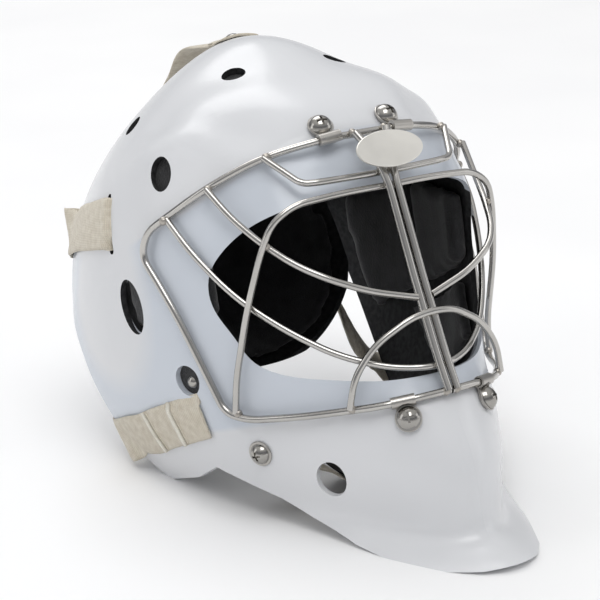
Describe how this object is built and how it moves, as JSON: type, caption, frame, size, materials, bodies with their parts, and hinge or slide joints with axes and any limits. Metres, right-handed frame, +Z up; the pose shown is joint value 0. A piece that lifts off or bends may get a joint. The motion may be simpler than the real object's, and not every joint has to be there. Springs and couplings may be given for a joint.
{
  "type": "goalie mask",
  "caption": "Hard-shell goalkeeper face mask with a welded wire cage over the eye port, hinged back plate, strap harness, foam liner and swinging chin cup.",
  "frame": {"origin": "centre of the mask's footprint on the table", "axes": "+Z up, -Y out of the face, +X towards the wearer's left"},
  "size_m": [0.2378, 0.3774, 0.2623],
  "materials": {
    "shell": "gloss",
    "plate_shell": "gloss",
    "cage_steel": "polished",
    "badge_steel": "satin",
    "clip_steel": "satin",
    "screw_steel": "polished",
    "nut_steel": "satin",
    "liner_foam": "matte",
    "sweatband": "matte",
    "webbing": "matte",
    "cup_plastic": "matte"
  },
  "bodies": {
    "mask": {"shell": "shell", "cage_frame": "cage_steel", "cage_brow_wire": "cage_steel", "cage_eye_loop": "cage_steel", "cage_upper_wire_right": "cage_steel", "cage_upper_wire_left": "cage_steel", "cage_lower_wire": "cage_steel", "cage_chin_arch": "cage_steel", "cage_bars": "cage_steel", "badge": "badge_steel", "top_clips": "clip_steel", "chin_clips": "clip_steel", "clip_washers": "clip_steel", "side_washers": "clip_steel", "clip_screws": "screw_steel", "side_screws": "screw_steel", "top_rivet": "screw_steel", "liner_snaps": "screw_steel", "strap_studs": "screw_steel", "clip_nuts": "nut_steel", "side_nuts": "nut_steel", "cup_pivots": "nut_steel", "temple_pad_right": "liner_foam", "temple_pad_left": "liner_foam", "cheek_pad_right": "liner_foam", "cheek_pad_left": "liner_foam", "ear_pad_right": "liner_foam", "ear_pad_left": "liner_foam", "jaw_pad_right": "liner_foam", "jaw_pad_left": "liner_foam", "forehead_pad": "liner_foam", "crown_pad": "liner_foam", "sweatband": "sweatband", "top_strap": "webbing", "upper_strap_right": "webbing", "upper_strap_left": "webbing", "lower_strap_right": "webbing", "lower_strap_left": "webbing"},
    "back_plate": {"back_plate": "plate_shell", "back_plate_pad": "liner_foam", "plate_rivets": "screw_steel"},
    "chin_cup": {"chin_cup": "cup_plastic", "chin_cup_pad": "liner_foam", "chin_sling": "webbing"}
  },
  "joints": [
    {"name": "back_plate_swing", "type": "hinge", "parent": "mask", "child": "back_plate", "pos_m": [0, 0.18688, 0.18825], "axis": [1, 0, 0], "range_deg": [0, 25], "stiffness_Nm_per_rad": 6, "springref_deg": -2.86, "deforming": ["top_strap", "upper_strap_right", "upper_strap_left", "lower_strap_right", "lower_strap_left"]},
    {"name": "chin_cup_swing", "type": "hinge", "parent": "mask", "child": "chin_cup", "pos_m": [0, -0.05044, 0.04575], "axis": [1, 0, 0], "range_deg": [-50, 30]}
  ]
}
